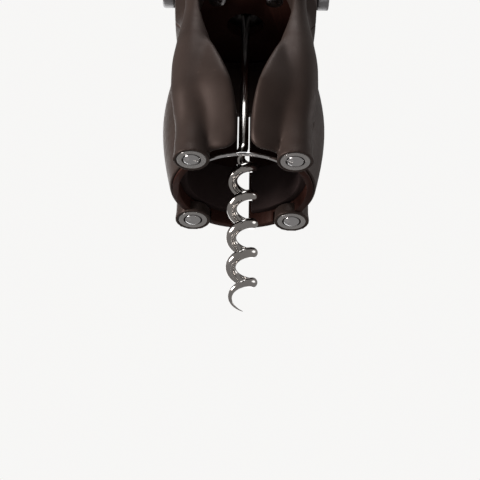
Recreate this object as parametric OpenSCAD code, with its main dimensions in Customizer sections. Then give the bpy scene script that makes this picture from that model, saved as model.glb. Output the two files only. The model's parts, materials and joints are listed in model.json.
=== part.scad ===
// Lever corkscrew: two hinged jaws grip the bottle's neck, and a lever with two toothed
// sectors rolls along two fixed racks, which drives the worm carriage down and up.
// Millimetres. +Z is up along the worm, -Y is the front, and the origin lies on the worm's
// axis in the plane of the collar's lower edge.

/* [Bottle seat] */
// Radius of the bottle's finish that the closed pads hold
seat_r = 15; // [14:0.1:16]
// Thickness of the rubber jaw pads
pad_t = 1.9; // [1.2:0.1:3]
// Lower edge of the pads
pad_z = 4; // [2:0.5:8]
// Height of the pads
pad_h = 14; // [8:0.5:20]

/* [Jaws] */
// Wall of the jaw's inner shell
jaw_t = 1.7; // [1.2:0.1:3]
// Height of the jaws
jaw_h = 37.5; // [32:0.5:42]
// Gap between the two jaws' back edges, and between the two front tongues
jaw_gap = 3.5; // [2:0.1:6]
// How far each jaw opens, in degrees
jaw_open = 24; // [10:1:28]

/* [Posts] */
// Sideways distance of the four posts from the worm's axis
post_x = 13.5; // [13:0.1:16]
// Distance of the posts to the front and to the back
post_y = 14.4; // [14:0.1:17]
// Radius of each post's boss at its lower end
boss_r = 4.6; // [4.4:0.1:5.5]
// Height of the plain boss under the hinge barrel
boss_h = 15; // [12:0.5:18]
// Growth in radius from the boss to the pillar above it
pillar_gain = 1.9; // [1.4:0.1:2.6]
// Radius of the hinge pins and rivets
pin_r = 2.2; // [1.5:0.1:2.4]
// Radius of the hollow barrel on each jaw
barrel_r = 4.2; // [3.8:0.1:4.4]
// Radius of the polished washers
washer_r = 3.9; // [3.2:0.1:4]
// Thickness of the polished washers
washer_t = 0.6; // [0.4:0.1:1]

/* [Body] */
// Outer radius at the collar's lower edge
rim_r = 19.2; // [19:0.1:20.5]
// Largest outer radius, where the hand squeezes the jaws
belly_r = 22; // [21:0.1:25]
// Height of the largest radius
belly_z = 20; // [14:1:26]
// Outer radius at the waist
waist_r = 17.4; // [17.2:0.1:19]
// Height of the waist
waist_z = 53; // [51:1:55]
// Height at which the head reaches its full size
shoulder_z = 68; // [66:1:70]
// Half the width of the head across its flat cheeks
cheek_x = 20; // [19.6:0.1:24]
// Radius of the head's upright corners
corner_r = 6; // [4:0.5:7]
// Radius of the head's upper edges
crown_r = 9; // [6:0.5:12]
// Radius of the head's front upper edge
brow_r = 20; // [8:1:22]
// Wall of the body shells
wall = 2.4; // [1.8:0.1:3]
// Half-width that the front window gains from its foot to its top
window_gain = 11.3; // [8:0.1:11.6]
// Height where the two front tongues start to part
window_z = 9; // [6:1:14]
// Lower edge of the front tongues
tongue_z = 2.2; // [1:0.1:5]

/* [Mechanism] */
// Module of the teeth
tooth_m = 1.5; // [1:0.25:2]
// Number of teeth on a full circle of the sectors
tooth_n = 24; // [20:1:26]
// How far the lever swings, in degrees
swing = 180; // [150:5:190]
// Angle of the lever below level when the worm is down
lever_drop = 22; // [0:1:40]
// Height of the lever's axle when the worm is down
axle_z = 77; // [76:0.5:82]
// Radius of the axle
axle_r = 3; // [2:0.1:3.4]
// Thickness of a sector
sector_t = 3; // [2:0.1:4]
// Radius of the guide rods
rod_r = 2.5; // [1.5:0.1:3]
// Sideways distance of the guide rods
rod_x = 8; // [7:0.1:8.6]
// How far in front of the worm the guide rods stand
rod_y = 10.5; // [9.8:0.1:11]
// Thickness of the floor plate
floor_t = 3.2; // [2:0.1:4]
// Thickness of the top plate
plate_t = 3; // [2:0.1:5]

/* [Worm] */
// Radius of the worm's wire and of its straight shank
wire_r = 1.35; // [1:0.05:1.8]
// Outer radius of the coil
coil_r = 4.2; // [3.4:0.1:4.8]
// Pitch of the coil
coil_pitch = 9; // [7:0.5:11]
// Length from the end of the shank to the tip
coil_l = 52; // [40:1:56]
// Height at which the straight shank starts
shank_z = 17; // [10:1:20]
// Radius of the journal that turns in the bearing
journal_r = 2.2; // [1.9:0.1:3]
// Outer radius of the worm's bearing
bearing_r = 6.5; // [5:0.1:7]

/* [Lever] */
// Thickness of the fork's two arms
fork_t = 3.4; // [2.5:0.1:5]
// Radius of the fork's round ends on the axle
hub_r = 11; // [8:0.5:13]
// Distance from the axle at which the fork's arms have joined
yoke_l = 60; // [56:1:64]
// Distance from the axle to the handle's end
lever_l = 160; // [130:1:180]
// Half the width of the handle
handle_w = 13; // [10:0.5:15]
// Half the thickness of the handle
handle_t = 9; // [7:0.5:10]

/* [Hidden] */
// clearances
run = 0.06;
pass = 0.5;
seam = 0.15;
// reach of the shapes that only cut or limit others
far = 100;
$fn = 64;

// seat, jaws and posts
collar_r = seat_r + pad_t + 0.1;
jaw_out = collar_r + jaw_t;
jaw_z = 0.4;
grip_z = 1;
foot_h = pad_z - 0.6;
core_r = 3.1;
rivet_h = 12;
barrel_z = boss_h + pass;
skirt_z = jaw_h + 1;
pin_top = skirt_z + 5;
leg_in = collar_r + 0.2;
leg_inset = 0.7;
leg_gain = 3.2;
leg_top = waist_z + 2;
pillar_top_r = boss_r - 1.4;
flare_z = boss_h - 6;
pillar_z = boss_h + 7;
window_top = 56.8;
bush_t = 0.9;
bush_h = 6;

// screws, pads and strap
foot_screw_x = 8;
foot_screw_y = 19;
foot_screw_l = 8;
top_screw_x = 9;
top_screw_l = 9;
cap_screw_y = 8;
rack_screw_gap = 9;
pad_from = -27;
pad_sweep = 108;
strap_in = 2.5;

// floor, carriage and worm
floor_z = window_top;
floor_r = 18.2;
floor_top = floor_z + floor_t;
bearing_z = floor_top + 1.4;
bearing_h = 5;
flange_t = 0.7;
flange_r = 3.4;
nut_r = 4.2;
nut_pocket_r = nut_r + 0.7;
nut_z = bearing_z + bearing_h + 0.15;
nut_h = 3;
housing_r = bearing_r + 2.4;
rod_hole = rod_r + run + 1.1;
lug_r = rod_hole + 1.8;
lug_z = floor_top + 5;
carriage_x = rod_x + lug_r;
carriage_top = axle_z + axle_r + 5;
axle_hole = axle_r + run + 1.1;

// teeth, sectors and racks
sector_r = tooth_m * tooth_n / 2;
travel = sector_r * swing * PI / 180;
pressure = 20;
base_r = sector_r * cos(pressure);
tip_r = sector_r + tooth_m - 0.08;
root_r = sector_r - 1.25 * tooth_m;
backlash = 0.06;
tooth_pitch = PI * tooth_m;
sector_x = carriage_x + pass;
sector_hub_r = 8;
sector_hole_u = (sector_hub_r + root_r) / 2;
sector_hole_r = (root_r - sector_hub_r) / 2 - 1.2;
rack_tip = sector_r - tooth_m + 0.08;
rack_root = sector_r + 1.25 * tooth_m;
rack_back = rack_root + 1.6;
rack_z = axle_z - 6.5;
rack_top = axle_z + travel + 6.5;
rack_side = 0.2;

// head
head_in_x = sector_x + sector_t + pass;
front_y = tip_r + 1.2 + wall;
back_y = rack_back + wall;
head_r = norm([sector_x + sector_t + rack_side, rack_back]) + wall + 0.1;
top_z = carriage_top + travel + 2.5;
cap_z = top_z + plate_t;
crown_z = cap_z + 3.4;
stop_t = 2;
brow_wall = 1.6;
rebate = 1.1;
stop_r = norm([rod_x, rod_y]) - housing_r - 0.4;
slot_r = axle_r + 0.9;

// strap between the front posts
strap_r = seat_r + 0.55;
strap_w = 0.7;
strap_z = washer_t + 0.2;
strap_h = 0.8;

// lever
fork_x = cheek_x + 0.6;
fork_out = fork_x + fork_t;
grip_y = yoke_l + 12;
tang_end = lever_l - 14;
grip_end = lever_l - 10;
end_r = handle_w + 3;
arm_l = 42;
tang_x = 6;
tang_t = 3;

// screws
screw_r = 1.4;
screw_head_r = 2.6;
screw_head_h = 1.6;

// ---------------------------------------------------------------- form functions

// smooth step from 0 to 1
function ease(t) = let (u = max(0, min(1, t))) u * u * (3 - 2 * u);
// value that eases from a to b as z goes from z0 to z1
function blend(z, z0, z1, a, b) = a + (b - a) * ease((z - z0) / (z1 - z0));
// outer radius of the body and the jaws at height z
function form_r(z) =
    z < belly_z ? rim_r + (belly_r - rim_r) * sin(90 * max(0, z) / belly_z)
    : z < waist_z ? blend(z, belly_z, waist_z, belly_r, waist_r)
    : blend(z, waist_z, shoulder_z, waist_r, head_r);
// outer radius of the front legs, which swell over the pillars and fade at the waist
function leg_r(z) = form_r(z) - leg_inset + blend(z, flare_z, pillar_z, 0, leg_gain)
    - blend(z, pillar_z + 10, waist_z, 0, leg_gain - leg_inset);
// half-width of the front window at height z
function window_x(z) = blend(z, window_z, waist_z + 1, jaw_gap / 2, jaw_gap / 2 + window_gain);
// radius of the front pillars, whose foot is the post's boss
function pillar_r(z) =
    z < 2 ? boss_r + 0.25 * (1 - z / 2)
    : z < pillar_z + 6 ? blend(z, flare_z, pillar_z, boss_r, boss_r + pillar_gain)
    : blend(z, pillar_z + 6, waist_z, boss_r + pillar_gain, pillar_top_r);
// radius of the rear posts, which fade into the grips above
function rear_post_r(z) =
    z < 2 ? boss_r + 0.25 * (1 - z / 2)
    : blend(z, flare_z, jaw_h, boss_r, boss_r / 2);
// angle in degrees between an involute's start and its point at radius r
function involute(r) = let (a = acos(min(1, base_r / r))) (tan(a) - a * PI / 180) * 180 / PI;

// ---------------------------------------------------------------- shared shapes

module both() {
    children();
    mirror([1, 0, 0]) children();
}

module at_front_post() {
    translate([post_x, -post_y, 0]) children();
}

module at_rear_post() {
    translate([post_x, post_y, 0]) children();
}

// ring about +Z
module ring(r_in, r_out, z, h) {
    translate([0, 0, z]) difference() {
        cylinder(h = h, r = r_out);
        translate([0, 0, -1]) cylinder(h = h + 2, r = r_in);
    }
}

// cylinder along +X between x0 and x1, at the axle's height when the worm is down
module bar(r, x0, x1) {
    translate([x0, 0, axle_z]) rotate([0, 90, 0]) cylinder(h = x1 - x0, r = r);
}

// low dome of radius r that hangs below z = 0 by h
module dome(r, h) {
    ball = (r * r + h * h) / (2 * h);
    edge = asin(r / ball);
    spindle([for (i = [1 : 6]) let (a = edge * i / 6) [ball * sin(a), ball - h - ball * cos(a)]]);
}

// solid of revolution of the body's form between two heights, moved inwards by inset
module form(z0, z1, inset, step = 3) {
    count = ceil((z1 - z0) / step);
    rotate_extrude() polygon(concat(
        [[0, z0]],
        [for (i = [0 : count]) let (z = z0 + (z1 - z0) * i / count) [form_r(z) - inset, z]],
        [[0, z1]]));
}

// solid of revolution about +Z whose radius is a list of [radius, height]
module spindle(points) {
    z0 = points[0][1];
    z1 = points[len(points) - 1][1];
    rotate_extrude() polygon(concat([[0, z0]], points, [[0, z1]]));
}

// solid of revolution of the front legs' outer surface
module leg_form() {
    count = 20;
    z0 = tongue_z - 1;
    spindle([for (i = [0 : count]) let (z = z0 + (leg_top - z0) * i / count) [leg_r(z), z]]);
}

module pillar(grow = 0, z0 = 0, z1 = shoulder_z) {
    count = ceil((z1 - z0) / 2.5);
    spindle([for (i = [0 : count]) let (z = z0 + (z1 - z0) * i / count) [pillar_r(z) + grow, z]]);
}

module rear_post(grow = 0, z0 = 0, z1 = jaw_h) {
    count = ceil((z1 - z0) / 2.5);
    spindle([for (i = [0 : count]) let (z = z0 + (z1 - z0) * i / count) [rear_post_r(z) + grow, z]]);
}

// plan of the head, moved inwards by inset
module head_plan(inset) {
    r = corner_r - inset;
    x = cheek_x - corner_r;
    y0 = -front_y + corner_r;
    y1 = back_y - corner_r;
    for (c = [[-x, y0], [x, y0], [-x, y1], [x, y1]]) translate(c) circle(r = r);
    translate([-x, y0 - r]) square([2 * x, y1 - y0 + 2 * r]);
    translate([-x - r, y0]) square([2 * (x + r), y1 - y0]);
}

// view of the head from u0 to u1, with upper corners of radii r0 and r1, moved inwards by inset
module head_side(u0, u1, r0, r1, inset) {
    polygon(concat(
        [[u1 - inset, 0]],
        [for (a = [0 : 10 : 90]) [u1 - r1 + (r1 - inset) * cos(a), crown_z - r1 + (r1 - inset) * sin(a)]],
        [for (a = [90 : 10 : 180]) [u0 + r0 + (r0 - inset) * cos(a), crown_z - r0 + (r0 - inset) * sin(a)]],
        [[u0 + inset, 0]]));
}

// the head's four sides with their rounded upper edges, moved inwards by inset
module head_block(inset) {
    intersection() {
        translate([0, far, 0]) rotate([90, 0, 0]) linear_extrude(2 * far)
            head_side(-cheek_x, cheek_x, crown_r, crown_r, inset);
        translate([-far, 0, 0]) rotate([90, 0, 90]) linear_extrude(2 * far)
            head_side(-front_y, back_y, brow_r, crown_r, inset);
    }
}

// outer form of the body between two heights
module body_solid(z0, z1) {
    intersection() {
        form(z0, z1, 0);
        translate([0, 0, z0]) linear_extrude(z1 - z0) head_plan(0);
        head_block(0);
    }
}

// room inside the head and the skirt
module body_room() {
    intersection() {
        form(skirt_z - 1, cap_z + 1, wall);
        translate([-head_in_x, -front_y + wall, 0])
            cube([2 * head_in_x, front_y + back_y - 2 * wall, 2 * far]);
        head_block(brow_wall);
    }
}

// slot that the axle travels along, right through both cheeks
module axle_slot() {
    bar(slot_r, -50, 50);
    translate([0, 0, travel]) bar(slot_r, -far, far);
    translate([-far, -slot_r, axle_z]) cube([2 * far, 2 * slot_r, travel]);
}

// front view of the window, x across and z up
module window_plan() {
    count = 14;
    low = -5;
    r = 4;
    high = window_top - r;
    side = [for (i = [0 : count]) let (z = low + (high - low) * i / count) [window_x(z), z]];
    arc = [for (a = [15 : 15 : 90]) [window_x(high) - r + r * cos(a), high + r * sin(a)]];
    half = concat(side, arc);
    polygon(concat(half, [for (i = [len(half) - 1 : -1 : 0]) [-half[i][0], half[i][1]]]));
}

// front view of the right tongue with its round lower corner
module tongue_plan() {
    r = 3.6;
    x = jaw_gap / 2;
    polygon(concat(
        [for (a = [180 : 15 : 270]) [x + r + r * cos(a), tongue_z + r + r * sin(a)]],
        [[post_x, tongue_z], [post_x, leg_top], [x, leg_top]]));
}

// space on the right that the jaw's barrel and walls sweep as the jaw opens
module jaw_sweep() {
    h = skirt_z - boss_h;
    translate([post_x, -post_y, boss_h]) {
        cylinder(h = h, r = barrel_r + 0.35);
        linear_extrude(h) polygon([[0, 0], [30, -1], [30, 40], [-22, 40]]);
    }
}

// the right front leg: a tongue beside the window and a pillar over the hinge post
module leg() {
    difference() {
        union() {
            intersection() {
                difference() {
                    leg_form();
                    cylinder(h = skirt_z, r = leg_in);
                    body_room();
                }
                rotate([90, 0, 0]) linear_extrude(60) tongue_plan();
            }
            difference() {
                at_front_post() pillar();
                translate([0, 0, boss_h]) cylinder(h = skirt_z - boss_h, r = leg_in);
                body_room();
            }
        }
        jaw_sweep();
        at_front_post() translate([0, 0, -1]) cylinder(h = pin_top + 1, r = pin_r);
        at_front_post() translate([0, 0, -1]) cylinder(h = 1 + washer_t, r = washer_r + 0.05);
        tie_strap_solid();
    }
}

// ---------------------------------------------------------------- body

module front_body() color("#3c342f") {
    difference() {
        union() {
            both() leg();
            difference() {
                body_solid(skirt_z, cap_z);
                body_room();
                both() jaw_pin_bore();
            }
        }
        rotate([90, 0, 0]) linear_extrude(60) window_plan();
        translate([-far, -seam / 2, skirt_z - 1]) cube([2 * far, far, 2 * far]);
        axle_slot();
        floor_disc(0);
        top_disc();
    }
}

module jaw_pin_bore() {
    at_front_post() translate([0, 0, -1]) cylinder(h = pin_top + 1, r = pin_r);
}

module rear_cover() color("#3c342f") {
    difference() {
        body_solid(skirt_z, cap_z);
        body_room();
        translate([-far, -2 * far + seam / 2, 0]) cube(2 * far);
        axle_slot();
        floor_disc(0);
        top_disc();
        both() cover_screw_pair(0.02);
        both() rack_screw_pair(0.02);
    }
}

module floor_disc(grow) {
    translate([0, 0, floor_z]) cylinder(h = floor_t, r = floor_r + grow);
}

module floor_plate() color("#8f8f92") {
    difference() {
        floor_disc(0);
        cylinder(h = 2 * far, r = coil_r + 1);
        both() translate([rod_x, -rod_y, 0]) cylinder(h = 2 * far, r = rod_r);
        both() cover_screw_pair(0);
    }
}

module top_disc() {
    intersection() {
        form(top_z, cap_z, rebate);
        translate([0, 0, top_z]) linear_extrude(plate_t) head_plan(rebate);
        head_block(rebate);
    }
}

module top_plate() color("#8f8f92") {
    difference() {
        top_disc();
        both() translate([rod_x, -rod_y, 0]) cylinder(h = 2 * far, r = rod_r);
        both() cover_screw_pair(0);
        both() cap_screw();
    }
}

module top_cap() color("#1d1b1a") {
    difference() {
        body_solid(cap_z, crown_z);
        both() cap_screw();
    }
}

module guide_rod() color("#d5d7d9") {
    translate([rod_x, -rod_y, floor_z]) cylinder(h = top_z + plate_t / 2 - floor_z, r = rod_r);
}

module end_stops() color("#222222") {
    both() translate([rod_x, -rod_y, 0]) {
        ring(rod_r, stop_r, floor_top, lug_z - floor_top - 0.3);
        ring(rod_r, stop_r, top_z - stop_t, stop_t);
    }
}

// ---------------------------------------------------------------- screws

module screw_from_back(x, y, z, length, grow) {
    translate([x, y, z]) rotate([90, 0, 0]) {
        cylinder(h = length, r = screw_r + grow);
        translate([0, 0, -screw_head_h]) cylinder(h = screw_head_h, r = screw_head_r + grow);
    }
}

module cover_screw_pair(grow) {
    screw_from_back(foot_screw_x, foot_screw_y, floor_z + floor_t / 2, foot_screw_l, grow);
    screw_from_back(top_screw_x, back_y - screw_head_h - 0.2, top_z + plate_t / 2, top_screw_l, grow);
}

module cover_screws() color("#b9babc") {
    both() cover_screw_pair(0);
}

module rack_screw_pair(grow) {
    for (z = [rack_z + rack_screw_gap, rack_top - rack_screw_gap])
        screw_from_back(sector_x + sector_t / 2, back_y - screw_head_h + 0.5, z, wall, grow);
}

module rack_screws() color("#b9babc") {
    both() rack_screw_pair(0);
}

module cap_screw() {
    translate([top_screw_x, cap_screw_y, 0]) {
        translate([0, 0, cap_z - 2]) cylinder(h = crown_z - cap_z + 1, r = screw_r);
        translate([0, 0, crown_z - 1.2]) cylinder(h = 1.2, r = screw_head_r);
    }
}

module cap_screws() color("#b9babc") {
    both() cap_screw();
}

// ---------------------------------------------------------------- front posts

module hinge_pin() color("#d5d7d9") {
    at_front_post() {
        cylinder(h = pin_top, r = pin_r);
        dome(pin_r, 0.9);
    }
}

module front_washers() color("#dcdddf") {
    both() at_front_post() ring(pin_r + 0.35, washer_r, 0, washer_t);
}

module tie_strap_solid() {
    translate([0, 0, strap_z]) difference() {
        union() {
            intersection() {
                ring(strap_r, strap_r + strap_w, 0, strap_h);
                translate([strap_in - post_x, -far, -1]) cube([2 * (post_x - strap_in), far, 5]);
            }
            both() translate([post_x, -post_y, 0]) cylinder(h = strap_h, r = washer_r - 0.3);
        }
        both() translate([post_x, -post_y, -1]) cylinder(h = 5, r = pin_r);
    }
}

module tie_strap() color("#d5d7d9") {
    tie_strap_solid();
}

// ---------------------------------------------------------------- jaws, drawn for the right

// keeps what lies right of the back gap and clear of the front pillar
module jaw_region() {
    difference() {
        children();
        translate([-far, -far, -5]) cube([far + jaw_gap / 2, 2 * far, far]);
        translate([0, 0, -5]) linear_extrude(far) polygon([
            [0, 0], [post_x - 3, -post_y + 2], [post_x, -post_y],
            [post_x + 30 * cos(jaw_open + 3), -post_y + 30 * sin(jaw_open + 3)], [60, -60], [0, -60]]);
        at_front_post() pillar(0.35, -1, barrel_z);
    }
}

// the rear post's outer form, cut back to the collar above its foot
module rear_post_body() {
    difference() {
        at_rear_post() rear_post();
        translate([0, 0, foot_h]) cylinder(h = far, r = collar_r);
    }
}

// the metal core inside the rear post
module rear_core() {
    difference() {
        at_rear_post() translate([0, 0, washer_t]) cylinder(h = rivet_h + 2, r = core_r);
        translate([0, 0, foot_h]) cylinder(h = far, r = collar_r);
    }
}

module jaw() color("#2f2925") {
    difference() {
        union() {
            difference() {
                jaw_region() ring(collar_r, jaw_out, jaw_z, jaw_h - jaw_z);
                at_rear_post() translate([0, 0, -1]) cylinder(h = 1 + foot_h, r = boss_r + 0.4);
            }
            rear_core();
            at_front_post() translate([0, 0, barrel_z]) cylinder(h = jaw_h - barrel_z, r = barrel_r);
        }
        at_front_post() translate([0, 0, barrel_z - 1]) cylinder(h = far, r = pin_r + run + bush_t);
        at_rear_post() translate([0, 0, -2]) cylinder(h = rivet_h + 2, r = pin_r);
    }
}

module jaw_grip() color("#463d37") {
    difference() {
        union() {
            jaw_region() difference() {
                form(grip_z, jaw_h - 0.2, 0);
                cylinder(h = far, r = jaw_out);
            }
            rear_post_body();
        }
        ring(collar_r - 1, jaw_out, foot_h, 100);
        rear_core();
        at_rear_post() translate([0, 0, -1]) cylinder(h = 1 + washer_t, r = washer_r + 0.05);
        at_rear_post() translate([0, 0, -2]) cylinder(h = rivet_h + 2, r = pin_r);
        at_front_post() cylinder(h = far, r = barrel_r);
    }
}

module jaw_pad() color("#1b1a1a") {
    translate([0, 0, pad_z]) rotate([0, 0, pad_from]) rotate_extrude(angle = pad_sweep)
        translate([seat_r, 0]) square([collar_r - seat_r, pad_h]);
}

module jaw_rivet() color("#d5d7d9") {
    at_rear_post() {
        cylinder(h = rivet_h, r = pin_r);
        dome(pin_r, 0.9);
    }
}

module jaw_washer() color("#dcdddf") {
    at_rear_post() ring(pin_r + 0.35, washer_r, 0, washer_t);
}

module hinge_bushes() color("#e6e0d2") {
    at_front_post() {
        ring(pin_r + run, pin_r + run + bush_t, barrel_z, bush_h);
        ring(pin_r + run, pin_r + run + bush_t, jaw_h - bush_h, bush_h);
    }
}

// ---------------------------------------------------------------- carriage

module carriage() color("#2a211c") {
    difference() {
        union() {
            translate([0, 0, bearing_z - 0.5]) cylinder(h = axle_z - bearing_z, r = housing_r);
            both() translate([rod_x, -rod_y, lug_z]) cylinder(h = carriage_top - lug_z, r = lug_r);
            bar(axle_r + 5, -carriage_x, carriage_x);
            translate([-carriage_x, -rod_y, nut_z + 1])
                cube([2 * carriage_x, rod_y, carriage_top - nut_z - 1]);
            translate([-rod_x, -rod_y - lug_r, lug_z]) cube([2 * rod_x, lug_r, carriage_top - lug_z]);
            translate([-rod_x, -rod_y, lug_z]) cube([2 * rod_x, rod_y, carriage_top - lug_z]);
        }
        both() translate([rod_x, -rod_y, 0]) cylinder(h = 2 * far, r = rod_hole);
        translate([0, 0, bearing_z - 5]) cylinder(h = 5 + bearing_h, r = bearing_r);
        cylinder(h = nut_z + nut_h + 0.8, r = nut_pocket_r);
        bar(axle_hole, -50, 50);
    }
}

module rod_bushes() color("#b08d4a") {
    both() translate([rod_x, -rod_y, 0]) {
        ring(rod_r + run, rod_hole, lug_z, bush_h);
        ring(rod_r + run, rod_hole, carriage_top - bush_h, bush_h);
    }
}

module axle_bushes() color("#b08d4a") {
    both() difference() {
        bar(axle_hole, carriage_x - bush_h, carriage_x);
        bar(axle_r + run, 0, 50);
    }
}

module worm_bearing() color("#c4c5c8") {
    ring(journal_r + run, bearing_r, bearing_z, bearing_h);
}

// ---------------------------------------------------------------- worm

// the coil's angle at t, which goes from 0 at the shank to 1 at the tip
function wire_angle(t) = -360 * coil_l * t / coil_pitch;
// the wire's centre at t
function wire_at(t) =
    let (z = shank_z - coil_l * t, r = (coil_r - wire_r) * ease((t * coil_l - 2) / 8))
    [r * cos(wire_angle(t)), r * sin(wire_angle(t)), z];
// the wire's radius at t: a sharp point at the tip
function wire_radius(t) = wire_r * min(1, 0.06 + (1 - t) * 7);
// ring of points about p, at right angles to the direction d, that starts at the angle a
function wire_ring(p, d, a, r, sides) =
    let (e2 = cross(d, [cos(a), sin(a), 0]) / norm(cross(d, [cos(a), sin(a), 0])), e1 = cross(e2, d))
    [for (k = [0 : sides - 1]) p + r * (cos(360 * k / sides) * e1 + sin(360 * k / sides) * e2)];

module worm() color("#cfd1d3") {
    turns = 84;
    sides = 12;
    rows = concat(
        [wire_ring([0, 0, nut_z + nut_h - 1], [0, 0, -1], 0, wire_r, sides)],
        [for (i = [0 : turns]) let (
            t = i / turns,
            q = wire_at(t + 0.001) - wire_at(t - 0.001))
            wire_ring(wire_at(t), q / norm(q), wire_angle(t), wire_radius(t), sides)]);
    points = [for (row = rows) for (p = row) p];
    last = len(points) - sides;
    faces = concat(
        [[for (k = [0 : sides - 1]) k]],
        [for (i = [0 : turns]) for (k = [0 : sides - 1]) let (n = (k + 1) % sides, b = i * sides)
            for (f = [[b + k, b + k + sides, b + n + sides], [b + k, b + n + sides, b + n]]) f],
        [[for (k = [sides - 1 : -1 : 0]) last + k]]);
    polyhedron(points = points, faces = faces, convexity = 10);
}

module worm_spindle() color("#c4c5c8") {
    low = bearing_z - 0.15 - flange_t;
    difference() {
        union() {
            translate([0, 0, low]) cylinder(h = flange_t, r = flange_r);
            translate([0, 0, low]) cylinder(h = nut_z + nut_h - low, r = journal_r);
        }
        translate([0, 0, low - 1]) cylinder(h = nut_z + nut_h - low, r = wire_r);
    }
}

module worm_nut() color("#b9babc") {
    difference() {
        translate([0, 0, nut_z]) cylinder(h = nut_h, r = nut_r, $fn = 6);
        cylinder(h = 2 * far, r = journal_r);
    }
}

// ---------------------------------------------------------------- lever

module axle() color("#d5d7d9") {
    bar(axle_r, -fork_out, fork_out);
}

// outline of one tooth, centred on the angle a, from its right foot to its left foot
function tooth_points(a) =
    let (count = 6,
        half = 90 / tooth_n - backlash / sector_r * 180 / PI + involute(sector_r),
        side = concat([[root_r, half]], [for (i = [0 : count])
            let (r = base_r + (tip_r - base_r) * i / count) [r, half - involute(r)]]))
    concat(
        [for (p = side) [p[0] * cos(a - p[1]), p[0] * sin(a - p[1])]],
        [for (i = [len(side) - 1 : -1 : 0]) let (p = side[i])
            [p[0] * cos(a + p[1]), p[0] * sin(a + p[1])]]);

// side view of a sector's toothed part: y across and z up, with its axle at the centre
module sector_plan() {
    last = ceil(swing * tooth_n / 360) + 1;
    step = 360 / tooth_n;
    polygon(concat([[0, 0]], [for (k = [-1 : last]) for (p = tooth_points(k * step)) p]));
}

module sector() color("#77787b") {
    translate([sector_x, 0, axle_z]) rotate([90, 0, 90]) difference() {
        union() {
            linear_extrude(sector_t) sector_plan();
            cylinder(h = sector_t, r = sector_hub_r);
        }
        translate([0, 0, -1]) cylinder(h = sector_t + 2, r = axle_r);
        for (a = [30 : 40 : 150]) rotate(a) translate([sector_hole_u, 0, -1])
            cylinder(h = sector_t + 2, r = sector_hole_r);
    }
}

// side view of a rack
module rack_plan() {
    half = tooth_pitch / 4 - backlash;
    tip = half - (sector_r - rack_tip) * tan(pressure);
    root = half + (rack_root - sector_r) * tan(pressure);
    first = ceil((rack_z - axle_z + root) / tooth_pitch - 0.5);
    last = floor((rack_top - axle_z - root) / tooth_pitch - 0.5);
    polygon(concat(
        [[rack_root, rack_z]],
        [for (k = [first : last]) let (z = axle_z + (k + 0.5) * tooth_pitch)
            for (p = [[rack_root, -root], [rack_tip, -tip], [rack_tip, tip], [rack_root, root]])
                [p[0], z + p[1]]],
        [[rack_root, rack_top], [rack_back, rack_top], [rack_back, rack_z]]));
}

module rack() color("#8a8b8e") {
    difference() {
        translate([sector_x - rack_side, 0, 0]) rotate([90, 0, 90])
            linear_extrude(sector_t + 2 * rack_side) rack_plan();
        rack_screw_pair(0);
    }
}

module place_lever() {
    translate([0, 0, axle_z]) rotate([lever_drop, 0, 0]) children();
}

// top view of the fork: arms beside the head that close into a tang
module fork_plan() {
    count = 10;
    outer = [for (i = [0 : count]) let (u = arm_l + (grip_y - arm_l) * i / count)
        [blend(u, arm_l, grip_y, fork_out, tang_x + 2.5), -u]];
    inner = [for (i = [0 : count]) let (a = 90 * i / count)
        [fork_x * cos(a), -arm_l - (yoke_l - arm_l) * sin(a)]];
    end_y = -tang_end;
    difference() {
        polygon(concat([[0, hub_r], [fork_out, hub_r]], outer,
            [[tang_x, -grip_y], [tang_x, end_y], [-tang_x, end_y], [-tang_x, -grip_y]],
            [for (i = [count : -1 : 0]) [-outer[i][0], outer[i][1]]], [[-fork_out, hub_r]]));
        polygon(concat([[0, hub_r + 1], [fork_x, hub_r + 1]], inner,
            [for (i = [count : -1 : 0]) [-inner[i][0], inner[i][1]]], [[-fork_x, hub_r + 1]]));
    }
}

// side view of the fork, y across and z up
module fork_side() {
    count = 10;
    neck = 7;
    edge = [for (i = [0 : count]) let (u = 4 + (grip_y - 4) * i / count)
        [-u, blend(u, 4, grip_y - 22, hub_r - 0.8, neck)]];
    circle(r = hub_r);
    polygon(concat(edge, [for (i = [count : -1 : 0]) [edge[i][0], -edge[i][1]]]));
    translate([-tang_end, -tang_t]) square([tang_end - grip_y + 5, 2 * tang_t]);
}

module lever_fork() color("#a5a6a9") {
    place_lever() difference() {
        intersection() {
            translate([0, 0, -far]) linear_extrude(2 * far) fork_plan();
            translate([-far, 0, 0]) rotate([90, 0, 90]) linear_extrude(2 * far) fork_side();
        }
        translate([-far, 0, 0]) rotate([0, 90, 0]) cylinder(h = 2 * far, r = axle_r);
        grip_screw_shape();
    }
}

// outer form of the handle between two distances from the axle
module handle_solid(u0, u1) {
    count = 12;
    top = [for (i = [0 : count]) let (u = u0 + (u1 - u0) * i / count)
        [blend(u, grip_y, grip_y + 45, tang_x + 3.5, handle_w), -u]];
    side = [for (i = [0 : count]) let (u = u0 + (u1 - u0) * i / count)
        [-u, blend(u, grip_y, grip_y + 40, 7.6, handle_t)]];
    intersection() {
        translate([0, 0, -far]) linear_extrude(2 * far)
            polygon(concat(top, [for (i = [count : -1 : 0]) [-top[i][0], top[i][1]]]));
        translate([-far, 0, 0]) rotate([90, 0, 90]) linear_extrude(2 * far)
            polygon(concat(side, [for (i = [count : -1 : 0]) [side[i][0], -side[i][1]]]));
        rotate([90, 0, 0]) spindle([for (i = [0 : count]) let (u = u0 + (u1 - u0) * i / count)
            [blend(u, grip_y, grip_y + 45, tang_x + 4, handle_w + 0.2), u]]);
    }
}

module lever_grip(upper) {
    place_lever() difference() {
        handle_solid(grip_y, grip_end);
        translate([-far, -2 * far, upper ? -far + seam / 2 : -seam / 2]) cube([2 * far, 3 * far, far]);
        translate([-tang_x, -tang_end, -tang_t]) cube([2 * tang_x, lever_l, 2 * tang_t]);
        grip_screw_shape();
    }
}

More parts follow.
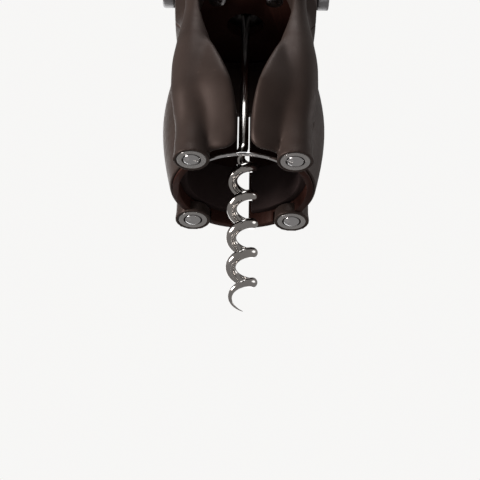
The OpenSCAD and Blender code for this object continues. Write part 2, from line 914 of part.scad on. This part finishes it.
module lever_grip_top() color("#463d37") {
    lever_grip(true);
}

module lever_grip_bottom() color("#463d37") {
    lever_grip(false);
}

module lever_end_cap() color("#1d1b1a") {
    place_lever() intersection() {
        handle_solid(grip_end + 0.2, lever_l);
        translate([0, -lever_l + end_r, 0]) sphere(r = end_r);
    }
}

module axle_caps() color("#dcdddf") {
    both() translate([fork_out, 0, axle_z]) rotate([0, -90, 0]) {
        dome(hub_r - 3, 1.6);
    }
}

module grip_screw_shape() {
    for (u = [grip_y + 14, lever_l - 30]) translate([0, -u, -handle_t]) {
        cylinder(h = handle_t + tang_t, r = screw_r);
        cylinder(h = 2, r = screw_head_r);
    }
}

module grip_screws() color("#b9babc") {
    place_lever() grip_screw_shape();
}

// ---------------------------------------------------------------- the parts

front_body();
rear_cover();
floor_plate();
top_plate();
top_cap();
mirror([1, 0, 0]) guide_rod();  // guide_rod_left
guide_rod();  // guide_rod_right
mirror([1, 0, 0]) rack();  // rack_left
rack();  // rack_right
mirror([1, 0, 0]) hinge_pin();  // hinge_pin_left
hinge_pin();  // hinge_pin_right
front_washers();
tie_strap();
cover_screws();
cap_screws();
rack_screws();
end_stops();
mirror([1, 0, 0]) jaw();  // jaw_left
jaw();  // jaw_right
mirror([1, 0, 0]) jaw_grip();  // jaw_grip_left
jaw_grip();  // jaw_grip_right
mirror([1, 0, 0]) jaw_pad();  // jaw_pad_left
jaw_pad();  // jaw_pad_right
mirror([1, 0, 0]) jaw_rivet();  // jaw_rivet_left
jaw_rivet();  // jaw_rivet_right
mirror([1, 0, 0]) jaw_washer();  // jaw_washer_left
jaw_washer();  // jaw_washer_right
mirror([1, 0, 0]) hinge_bushes();  // hinge_bushes_left
hinge_bushes();  // hinge_bushes_right
carriage();
rod_bushes();
axle_bushes();
worm_bearing();
worm();
worm_spindle();
worm_nut();
axle();
mirror([1, 0, 0]) sector();  // sector_left
sector();  // sector_right
lever_fork();
lever_grip_top();
lever_grip_bottom();
lever_end_cap();
axle_caps();
grip_screws();
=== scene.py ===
"""Lever corkscrew: smooth moulded shells, materials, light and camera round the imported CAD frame."""

import json
import math

import bmesh
import bpy
import numpy as np
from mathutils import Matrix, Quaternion, Vector


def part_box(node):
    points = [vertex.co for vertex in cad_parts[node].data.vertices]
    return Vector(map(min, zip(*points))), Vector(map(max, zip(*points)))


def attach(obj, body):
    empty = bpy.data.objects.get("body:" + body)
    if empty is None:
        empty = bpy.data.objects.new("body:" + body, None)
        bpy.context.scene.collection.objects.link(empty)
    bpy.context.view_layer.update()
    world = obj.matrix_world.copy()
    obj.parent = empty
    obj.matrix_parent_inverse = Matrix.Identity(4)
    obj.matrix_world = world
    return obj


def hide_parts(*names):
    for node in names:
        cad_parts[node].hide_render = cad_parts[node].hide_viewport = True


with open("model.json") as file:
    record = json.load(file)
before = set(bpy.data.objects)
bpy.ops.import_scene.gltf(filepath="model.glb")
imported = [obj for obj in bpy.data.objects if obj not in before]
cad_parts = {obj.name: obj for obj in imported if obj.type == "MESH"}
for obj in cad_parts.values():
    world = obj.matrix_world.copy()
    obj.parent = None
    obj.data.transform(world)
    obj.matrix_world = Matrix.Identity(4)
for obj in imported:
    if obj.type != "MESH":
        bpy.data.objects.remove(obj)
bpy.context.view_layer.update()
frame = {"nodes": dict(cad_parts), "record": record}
nodes = frame["nodes"]
record = frame["record"]
MM = 0.001

# ---------------------------------------------------------------- camera and stage

VIEW_UP = 32.0            # how steeply the camera looks up at the object, in degrees
LEAN = 1.0                # how far the camera leans to the left, in degrees
CAMERA_DISTANCE = 450 * MM
LENS = 126.6
AIM = Vector((-0.5, 6.8, -10.9)) * MM
FLOOR_Z = -0.60
FLOOR_HALF = 20.0
FLOOR_GLOW = 0.80         # keeps the floor pale far from the lamps
PALE = (0.86, 0.85, 0.84)
WORLD_LIGHT = 0.24        # what the world gives to surfaces
WORLD_SEEN = 0.93         # what the camera sees of it


def look_at(obj, place, target):
    obj.location = place
    obj.rotation_mode = "QUATERNION"
    obj.rotation_quaternion = (target - place).to_track_quat("-Z", "Y")


def make_camera():
    data = bpy.data.cameras.new("camera")
    data.lens = LENS
    data.sensor_width = 36
    data.clip_start = 0.02
    data.clip_end = 50
    cam = bpy.data.objects.new("camera", data)
    bpy.context.scene.collection.objects.link(cam)
    tilt = math.radians(VIEW_UP)
    ahead = Vector((0, math.cos(tilt), math.sin(tilt)))
    look_at(cam, AIM - CAMERA_DISTANCE * ahead, AIM)
    cam.rotation_quaternion = Quaternion(ahead, math.radians(-LEAN)) @ cam.rotation_quaternion
    bpy.context.scene.camera = cam


def make_floor():
    mesh = bpy.data.meshes.new("floor")
    half = FLOOR_HALF
    mesh.from_pydata([(-half, -half, FLOOR_Z), (half, -half, FLOOR_Z), (half, half, FLOOR_Z),
                      (-half, half, FLOOR_Z)], [], [(0, 1, 2, 3)])
    floor = bpy.data.objects.new("floor", mesh)
    bpy.context.scene.collection.objects.link(floor)
    mat = bpy.data.materials.new("pale_floor")
    mat.use_nodes = True
    shader = mat.node_tree.nodes["Principled BSDF"]
    shader.inputs["Base Color"].default_value = (*PALE, 1)
    shader.inputs["Roughness"].default_value = 0.9
    shader.inputs["Emission Color"].default_value = (*PALE, 1)
    shader.inputs["Emission Strength"].default_value = FLOOR_GLOW
    mesh.materials.append(mat)
    floor.visible_diffuse = False
    floor.visible_glossy = False


def area_light(name, place, target, size, power, colour=(1, 1, 1)):
    data = bpy.data.lights.new(name, "AREA")
    data.shape = "DISK"
    data.size = size
    data.energy = power
    data.color = colour
    lamp = bpy.data.objects.new(name, data)
    bpy.context.scene.collection.objects.link(lamp)
    look_at(lamp, Vector(place), Vector(target))


def make_light():
    world = bpy.data.worlds.new("pale_world")
    world.use_nodes = True
    tree = world.node_tree
    lit = tree.nodes["Background"]
    lit.inputs["Color"].default_value = (1.0, 0.955, 0.93, 1)
    lit.inputs["Strength"].default_value = WORLD_LIGHT
    seen = tree.nodes.new("ShaderNodeBackground")
    seen.inputs["Color"].default_value = (1.0, 0.995, 0.985, 1)
    seen.inputs["Strength"].default_value = WORLD_SEEN
    path = tree.nodes.new("ShaderNodeLightPath")
    choose = tree.nodes.new("ShaderNodeMixShader")
    tree.links.new(path.outputs["Is Camera Ray"], choose.inputs["Fac"])
    tree.links.new(lit.outputs[0], choose.inputs[1])
    tree.links.new(seen.outputs[0], choose.inputs[2])
    tree.links.new(choose.outputs[0], tree.nodes["World Output"].inputs["Surface"])
    bpy.context.scene.world = world
    bpy.context.scene.view_settings.view_transform = "Standard"
    area_light("key", (-0.95, -0.50, -0.10), (0, 0, 0.02), 0.55, 12.5, (1.0, 0.93, 0.89))
    area_light("back", (-0.3, 0.95, 0.35), (0, 0, 0.06), 0.9, 3.2)
    area_light("right", (1.0, 0.15, 0.30), (0, 0, 0.06), 0.6, 1.4)
    area_light("top", (-0.1, -0.5, 0.9), (0, 0, 0.08), 0.6, 3.0)


# ---------------------------------------------------------------- materials

# specular tint that reddens every reflection: a painted red reflection of the surroundings
RED_BOUNCE_TINT = (1.0, 0.80, 0.74, 1.0)


class Graph:
    """Short names for the shader nodes that the materials use."""

    def __init__(self, name):
        self.mat = bpy.data.materials.new(name)
        self.mat.use_nodes = True
        self.tree = self.mat.node_tree
        self.shader = self.tree.nodes["Principled BSDF"]
        self.place = self.node("ShaderNodeTexCoord").outputs["Object"]

    def node(self, kind):
        return self.tree.nodes.new(kind)

    def link(self, a, b):
        self.tree.links.new(a, b)

    def stretched(self, scale):
        mapping = self.node("ShaderNodeMapping")
        mapping.inputs["Scale"].default_value = scale
        self.link(self.place, mapping.inputs["Vector"])
        return mapping.outputs["Vector"]

    def noise(self, size, detail=3.0, rough=0.5, stretch=None):
        """Noise whose features are size metres across."""
        made = self.node("ShaderNodeTexNoise")
        made.inputs["Scale"].default_value = 1 / size
        made.inputs["Detail"].default_value = detail
        made.inputs["Roughness"].default_value = rough
        self.link(self.stretched(stretch) if stretch else self.place, made.inputs["Vector"])
        return made.outputs["Fac"]

    def remap(self, value, low, high, to_low, to_high):
        made = self.node("ShaderNodeMapRange")
        self.link(value, made.inputs["Value"])
        ends = {"From Min": low, "From Max": high, "To Min": to_low, "To Max": to_high}
        for key, number in ends.items():
            made.inputs[key].default_value = number
        return made.outputs["Result"]

    def mix(self, share, a, b):
        made = self.node("ShaderNodeMix")
        made.data_type = "RGBA"
        self.link(share, made.inputs["Factor"])
        for socket, value in ((made.inputs[6], a), (made.inputs[7], b)):
            if isinstance(value, tuple):
                socket.default_value = (*value, 1)
            else:
                self.link(value, socket)
        return made.outputs[2]

    def add(self, a, b, kind="ADD"):
        made = self.node("ShaderNodeMath")
        made.operation = kind
        self.link(a, made.inputs[0])
        if isinstance(b, (int, float)):
            made.inputs[1].default_value = b
        else:
            self.link(b, made.inputs[1])
        return made.outputs[0]

    def edges(self, low, high):
        """1 on worn outer edges and 0 elsewhere."""
        geometry = self.node("ShaderNodeNewGeometry")
        return self.remap(geometry.outputs["Pointiness"], low, high, 0, 1)

    def bump(self, height, depth, strength=1.0, under=None):
        made = self.node("ShaderNodeBump")
        made.inputs["Strength"].default_value = strength
        made.inputs["Distance"].default_value = depth
        self.link(height, made.inputs["Height"])
        if under:
            self.link(under, made.inputs["Normal"])
        return made.outputs["Normal"]

    def finish(self, colour, rough, normal, **values):
        self.link(colour, self.shader.inputs["Base Color"])
        self.link(rough, self.shader.inputs["Roughness"])
        self.link(normal, self.shader.inputs["Normal"])
        for key, value in values.items():
            self.shader.inputs[key.replace("_", " ")].default_value = value
        return self.mat


def shade(colour, factor):
    return tuple(min(1.0, c * factor) for c in colour)


def with_red_bounce(colour, share):
    """The colour with more red in it and less of the rest: painted red bounce light from the
    surroundings.
    """
    return (colour[0] * (1 + share), colour[1] * (1 - share / 2), colour[2] * (1 - share / 2))


def plastic(name, colour, rough, grain, depth, wear, **values):
    """Moulded plastic: a fine spark-eroded grain, cloudy handling marks and paler edges. grain and
    depth are in mm, and wear is how much paler a worn edge is."""
    g = Graph(name)
    cloud = g.noise(9 * MM, 4)
    marks = g.noise(1.6 * MM, 5, 0.6)
    tint = g.mix(g.remap(cloud, 0.3, 0.7, 0, 1), shade(colour, 0.86), shade(colour, 1.14))
    worn = g.add(g.edges(0.53, 0.60), g.remap(marks, 0.35, 0.65, 0.25, 1.0), "MULTIPLY")
    tint = g.mix(worn, tint, shade(colour, wear))
    roughness = g.add(g.remap(cloud, 0.3, 0.7, -0.05, 0.05),
                      g.remap(marks, 0.3, 0.7, rough - 0.05, rough + 0.05))
    fine = g.noise(grain * MM, 2)
    swell = g.bump(g.noise(7 * MM, 1), 0.03 * MM, 0.3)
    return g.finish(tint, roughness, g.bump(fine, depth * MM, 0.6, swell), **values)


def metal(name, colour, rough, brush=None, grain=0.12, depth=0.004):
    """Metal with fine marks along brush, a cloudy polish and small dull specks."""
    g = Graph(name)
    cloud = g.noise(4.5 * MM, 4)
    lines = g.noise(grain * MM, 3, 0.65, brush or (1, 1, 1))
    specks = g.noise(0.9 * MM, 6, 0.7)
    tint = g.mix(g.remap(cloud, 0.3, 0.7, 0, 1), shade(colour, 0.93), shade(colour, 1.05))
    tint = g.mix(g.remap(specks, 0.60, 0.72, 0, 0.5), tint, shade(colour, 0.9 * 0.75))
    tint = g.mix(g.edges(0.52, 0.58), tint, shade(colour, 1.18))
    roughness = g.add(g.remap(lines, 0.25, 0.75, -0.06, 0.07),
                      g.remap(cloud, 0.3, 0.7, rough - 0.03, rough + 0.04))
    return g.finish(tint, roughness, g.bump(lines, depth * MM, 0.5), Metallic=1.0)


def slot_colour(slot):
    found = next(m for m in record["materials"] if m["slot"] == slot)
    return tuple(found["base_color"])


def make_materials():
    c = slot_colour
    return {
        # soft_touch is made redder than its own colour: painted red bounce light; its specular tint is a
        # painted red reflection
        "soft_touch": plastic("soft_touch", with_red_bounce(c("soft_touch"), 0.10), 0.47, 0.20, 0.014, 1.45,
                              Specular_IOR_Level=0.32, Specular_Tint=RED_BOUNCE_TINT, Sheen_Weight=0.03,
                              Sheen_Roughness=0.5),
        # inner_plastic and coated_zinc are made redder and 1.4 and 1.6 times lighter than their own
        # colours: painted red bounce light and painted light in the dim inside; their specular tint is a
        # painted red reflection
        "inner_plastic": plastic("inner_plastic", shade(with_red_bounce(c("inner_plastic"), 0.4), 1.4), 0.5, 0.35,
                                 0.012, 1.4, Specular_IOR_Level=0.22, Specular_Tint=RED_BOUNCE_TINT),
        "coated_zinc": plastic("coated_zinc", shade(with_red_bounce(c("coated_zinc"), 0.4), 1.6), 0.48, 0.4,
                               0.010, 1.8, Specular_IOR_Level=0.3, Specular_Tint=RED_BOUNCE_TINT),
        "gloss_black": plastic("gloss_black", c("gloss_black"), 0.30, 0.8, 0.006, 1.3, Coat_Weight=0.25,
                               Coat_Roughness=0.18),
        # rubber is made redder than its own colour: painted red bounce light; its specular tint is a
        # painted red reflection
        "rubber": plastic("rubber", with_red_bounce(c("rubber"), 0.25), 0.72, 0.16, 0.03, 1.3,
                          Specular_IOR_Level=0.3, Specular_Tint=RED_BOUNCE_TINT),
        "nylon": plastic("nylon", c("nylon"), 0.5, 0.3, 0.012, 1.02),
        "polished_steel": metal("polished_steel", c("polished_steel"), 0.15, (1, 1, 0.05)),
        # washer_steel at 0.8 of its own colour: painted shade that dims its reflections
        "washer_steel": metal("washer_steel", shade(c("washer_steel"), 0.8), 0.26, (1, 1, 1), 0.2),
        "worm_steel": metal("worm_steel", c("worm_steel"), 0.13, (1, 1, 0.06), 0.2),
        "screw_steel": metal("screw_steel", c("screw_steel"), 0.28, (1, 1, 1), 0.25),
        "gear_steel": metal("gear_steel", c("gear_steel"), 0.36, (1, 0.1, 0.1), 0.3, 0.006),
        "zinc_plate": metal("zinc_plate", c("zinc_plate"), 0.46, (1, 1, 1), 0.5, 0.012),
        # satin_alloy at 0.7 of its own colour: painted shade that dims its bright reflections
        "satin_alloy": metal("satin_alloy", shade(c("satin_alloy"), 0.7), 0.42, (1, 1, 1), 0.16, 0.010),
        "bronze": metal("bronze", c("bronze"), 0.38, (1, 1, 1), 0.3, 0.008),
    }


# ---------------------------------------------------------------- mesh tools


def new_object(name, mesh):
    obj = bpy.data.objects.new(name, mesh)
    bpy.context.scene.collection.objects.link(obj)
    return obj


def modifier(obj, kind, **values):
    made = obj.modifiers.new(kind.lower(), kind)
    for key, value in values.items():
        setattr(made, key, value)
    return made


def baked(obj):
    """Replaces the object's mesh by what its modifiers make of it."""
    graph = bpy.context.evaluated_depsgraph_get()
    mesh = bpy.data.meshes.new_from_object(obj.evaluated_get(graph))
    obj.modifiers.clear()
    obj.data = mesh


def smooth_faces(mesh):
    mesh.polygons.foreach_set("use_smooth", [True] * len(mesh.polygons))
    mesh.update()


def part_of(obj, node, slot):
    """The piece stands for one CAD node and rides on its body."""
    obj.data.materials.clear()
    obj.data.materials.append(materials[slot])
    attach(obj, body_of[node])
    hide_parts(node)
    return obj


def points_of(mesh):
    flat = np.empty(len(mesh.vertices) * 3)
    mesh.vertices.foreach_get("co", flat)
    return flat.reshape(-1, 3)


def rise(x, low, high):
    """0 below low, 1 above high, and a smooth step between. low above high makes it fall."""
    t = np.clip((x - low) / (high - low), 0, 1)
    return t * t * (3 - 2 * t)


def soften(obj, weights, rounds):
    """Rounds the mesh further where weights, one for each vertex, say so."""
    group = obj.vertex_groups.new(name="soften")
    steps = np.round(weights * 10).astype(int)
    for step in range(1, 11):
        group.add(np.nonzero(steps == step)[0].tolist(), step / 10, "REPLACE")
    modifier(obj, "SMOOTH", factor=0.5, iterations=rounds, vertex_group="soften")
    baked(obj)


def moulded(node, voxel, rounds, more=None):
    """A smooth copy of a CAD node whose edges and creases are rounded as a mould rounds them."""
    obj = new_object(node + "_shell", nodes[node].data.copy())
    modifier(obj, "WELD", merge_threshold=0.001 * MM)
    modifier(obj, "REMESH", mode="VOXEL", voxel_size=voxel * MM, use_smooth_shade=True)
    modifier(obj, "SMOOTH", factor=0.5, iterations=rounds)
    baked(obj)
    if more:
        more(obj)
    smooth_faces(obj.data)
    return part_of(obj, node, slot_of[node])


def soften_front(obj):
    """The front legs flow from tongue to pillar, the head's front corners are full and round, and
    the bosses' ends, the seats of the barrels and everything inside stay crisp. All in mm."""
    x, y, z = (points_of(obj.data) / MM).T
    barrel_foot, legs_end, head_start = 14, 55, 56
    pin = sum(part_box("hinge_pin_right"), Vector()) / 2 / MM
    from_axis = np.hypot(x, y)
    from_pin = np.hypot(np.abs(x) - pin.x, y - pin.y)
    outside = rise(from_axis, 18.3, 19.3) * rise(y, -8, -11)
    clear_of_barrel = np.where(z > barrel_foot, rise(from_pin, 5.0, 5.5), 1.0)
    tongue = rise(from_pin, 5.0, 6.0)
    above_boss = rise(z, 4, 9)
    legs = outside * clear_of_barrel * np.maximum(tongue, above_boss) * rise(z, legs_end, legs_end - 5)
    low, high = (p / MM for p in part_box("front_body"))
    skin = np.maximum(rise(np.abs(x), high.x - 1.2, high.x - 0.6), rise(y, low.y + 1.2, low.y + 0.6))
    head = rise(z, head_start, head_start + 4) * rise(y, -7, -11) * skin
    soften(obj, np.maximum(legs, head), 170)


def thumb_ribs(obj):
    """Shallow ribs across the handle where the thumb presses."""
    first, pitch, count, depth = 100 * MM, 5 * MM, 7, 0.55 * MM
    pivot = sum(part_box("axle"), Vector()) / 2
    place = points_of(obj.data)
    offset = place - np.array(pivot)
    along = offset @ np.array(lever_along)
    up = offset @ np.array(lever_up)
    across = np.abs(place[:, 0])
    phase = (along - first) / pitch
    groove = np.clip(np.cos(2 * np.pi * phase), 0, 1) ** 0.7
    inside = rise(phase, -0.3, 0.0) * rise(phase, count + 0.3, count) * rise(across, 9.5 * MM, 6.5 * MM)
    sunk = depth * groove * inside * rise(np.abs(up), 5 * MM, 6.5 * MM) * np.sign(up)
    moved = place - sunk[:, None] * np.array(lever_up)
    obj.data.vertices.foreach_set("co", moved.ravel())
    obj.data.update()


def machined(node, width):
    """A CAD node kept as it is, with its sharp edges broken."""
    obj = nodes[node]
    smooth_faces(obj.data)
    modifier(obj, "WELD", merge_threshold=0.001 * MM)
    modifier(obj, "DECIMATE", decimate_type="DISSOLVE", angle_limit=math.radians(0.6))
    modifier(obj, "BEVEL", width=width * MM, segments=2, limit_method="ANGLE",
             angle_limit=math.radians(32), use_clamp_overlap=True, harden_normals=True)
    obj.data.materials.clear()
    obj.data.materials.append(materials[slot_of[node]])


# ---------------------------------------------------------------- pieces built here


def islands(mesh):
    """The vertex places of each separate solid in a mesh."""
    bm = bmesh.new()
    bm.from_mesh(mesh)
    bmesh.ops.remove_doubles(bm, verts=bm.verts, dist=0.001 * MM)
    left = set(bm.verts)
    found = []
    while left:
        stack = [left.pop()]
        group = []
        while stack:
            v = stack.pop()
            group.append(v.co.copy())
            for e in v.link_edges:
                other = e.other_vert(v)
                if other in left:
                    left.remove(other)
                    stack.append(other)
        found.append(group)
    bm.free()
    return sorted(found, key=lambda g: [round(x, 6) for x in sum(g, Vector()) / len(g)])


def lathe(rings, sides, basis, origin):
    """A closed solid from rings of (radius, height, lobe). lobe is how deep six lobes cut in."""
    verts, faces = [], []
    for radius, height, lobe in rings:
        for k in range(sides):
            a = 2 * math.pi * k / sides
            r = radius * (1 + lobe * math.cos(6 * a))
            verts.append(origin + basis @ Vector((r * math.cos(a), r * math.sin(a), height)))
    for i in range(len(rings) - 1):
        for k in range(sides):
            n = (k + 1) % sides
            faces.append((i * sides + k, i * sides + n, (i + 1) * sides + n, (i + 1) * sides + k))
    last = (len(rings) - 1) * sides
    faces.append(tuple(reversed(range(sides))))
    faces.append(tuple(range(last, last + sides)))
    return verts, faces


def socket_screws(node, axis):
    """Screws with a rounded head edge and a six-lobed socket, in the places of a node's plain ones."""
    axis = Vector(axis).normalized()
    basis = axis.to_track_quat("Z", "Y").to_matrix()
    verts, faces = [], []
    for group in islands(nodes[node].data):
        along = [p.dot(axis) for p in group]
        low, high = min(along), max(along)
        top = [p for p in group if p.dot(axis) > high - 0.01 * MM]
        bottom = [p for p in group if p.dot(axis) < low + 0.01 * MM]
        centre = sum(top, Vector()) / len(top)
        head = max((p - centre).length for p in top)
        foot = sum(bottom, Vector()) / len(bottom)
        shank = max((p - foot).length for p in bottom)
        under = min(h for p, h in zip(group, along)
                    if (p - centre - axis * (h - high)).length > (head + shank) / 2)
        origin = centre - axis * high
        edge = 0.28 * MM
        socket = 0.52 * head
        rings = [(shank, low, 0), (shank, under, 0), (head - 0.1 * MM, under, 0),
                 (head, under + 0.1 * MM, 0), (head, high - edge, 0),
                 (head - 0.3 * edge, high - 0.3 * edge, 0), (head - edge, high, 0),
                 (socket * 1.06, high, -0.13), (socket, high - 0.08 * MM, -0.15),
                 (socket * 0.97, under + 0.25 * (high - under), -0.15)]
        v, f = lathe(rings, 48, basis, origin)
        faces += [tuple(len(verts) + i for i in face) for face in f]
        verts += v
    mesh = bpy.data.meshes.new(node + "_socket")
    mesh.from_pydata(verts, [], faces)
    obj = new_object(node + "_socket", mesh)
    tidy_normals(mesh)
    smooth_faces(mesh)
    modifier(obj, "EDGE_SPLIT", split_angle=math.radians(40))
    return part_of(obj, node, slot_of[node])


def tidy_normals(mesh):
    bm = bmesh.new()
    bm.from_mesh(mesh)
    bmesh.ops.recalc_face_normals(bm, faces=bm.faces)
    bm.to_mesh(mesh)
    bm.free()


def ease(t):
    t = max(0.0, min(1.0, t))
    return t * t * (3 - 2 * t)


def make_worm():
    """The worm's wire as one round sweep: a straight shank, a run-in and a coil with a ground point."""
    low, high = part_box("worm")
    wire, pitch, length, shank = 1.35 * MM, 9 * MM, 52 * MM, 17 * MM
    coil = (high.x - low.x) / 2 - wire
    count, sides, step = 420, 28, 0.0005

    def turn(t):
        return -2 * math.pi * length * t / pitch

    def at(t):
        a = turn(t)
        r = coil * ease((t * length / MM - 2) / 8)
        return Vector((r * math.cos(a), r * math.sin(a), shank - length * t))

    rows = [(Vector((0, 0, high.z)), Vector((0, 0, -1)), 0.0, wire)]
    for i in range(count + 1):
        t = i / count
        radius = wire * min(1.0, 0.05 + (1 - t) * 7)
        ahead = (at(t + step) - at(t - step)).normalized()
        rows.append((at(t), ahead, turn(t), radius))
    verts, faces = [], []
    for centre, ahead, a, radius in rows:
        side = ahead.cross(Vector((math.cos(a), math.sin(a), 0))).normalized()
        out = side.cross(ahead)
        for k in range(sides):
            b = 2 * math.pi * k / sides
            verts.append(centre + radius * (math.cos(b) * out + math.sin(b) * side))
    for i in range(len(rows) - 1):
        for k in range(sides):
            n = (k + 1) % sides
            faces.append((i * sides + k, i * sides + n, (i + 1) * sides + n, (i + 1) * sides + k))
    faces.append(tuple(range(sides)))
    faces.append(tuple(reversed(range(len(verts) - sides, len(verts)))))
    mesh = bpy.data.meshes.new("worm_wire")
    mesh.from_pydata(verts, [], faces)
    tidy_normals(mesh)
    smooth_faces(mesh)
    return part_of(new_object("worm_wire", mesh), "worm", slot_of["worm"])


# ---------------------------------------------------------------- the object

slot_of = {s["node"]: s["material_slot"] for s in record["subparts"]}
body_of = {n: b for b, names in record["behaviour"]["bodies"].items() for n in names}
lever_end = sum(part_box("lever_end_cap"), Vector()) / 2
lever_along = (lever_end - sum(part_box("axle"), Vector()) / 2).normalized()
lever_up = Vector((1, 0, 0)).cross(lever_along).normalized()
if lever_up.z < 0:
    lever_up = -lever_up
make_camera()
make_floor()
make_light()
materials = make_materials()

# voxel size in mm and rounds of smoothing, the way screws point, and broken edges in mm
SHELLS = {"front_body": (0.30, 5), "rear_cover": (0.36, 4), "jaw_grip_left": (0.28, 5),
          "jaw_grip_right": (0.28, 5), "lever_grip_top": (0.35, 6), "lever_grip_bottom": (0.35, 6),
          "lever_fork": (0.35, 6), "top_cap": (0.30, 5)}
SCREWS = {"cover_screws": (0, 1, 0), "rack_screws": (0, 1, 0), "cap_screws": (0, 0, 1)}
EDGES = {"axle_caps": 0.2, "jaw_left": 0.3, "jaw_right": 0.3, "lever_end_cap": 0.6, "tie_strap": 0.12,
         "front_washers": 0.12, "jaw_washer_left": 0.12, "jaw_washer_right": 0.12,
         "sector_left": 0.12, "sector_right": 0.12, "rack_left": 0.12, "rack_right": 0.12}
USUAL_EDGE = 0.2
MORE = {"front_body": soften_front, "lever_grip_top": thumb_ribs}

for name, (voxel, rounds) in SHELLS.items():
    moulded(name, voxel, rounds, MORE.get(name))
for name, axis in SCREWS.items():
    socket_screws(name, axis)
socket_screws("grip_screws", -lever_up)
make_worm()
done = set(SHELLS) | set(SCREWS) | {"grip_screws", "worm"}
for name in nodes:
    if name not in done:
        machined(name, EDGES.get(name, USUAL_EDGE))
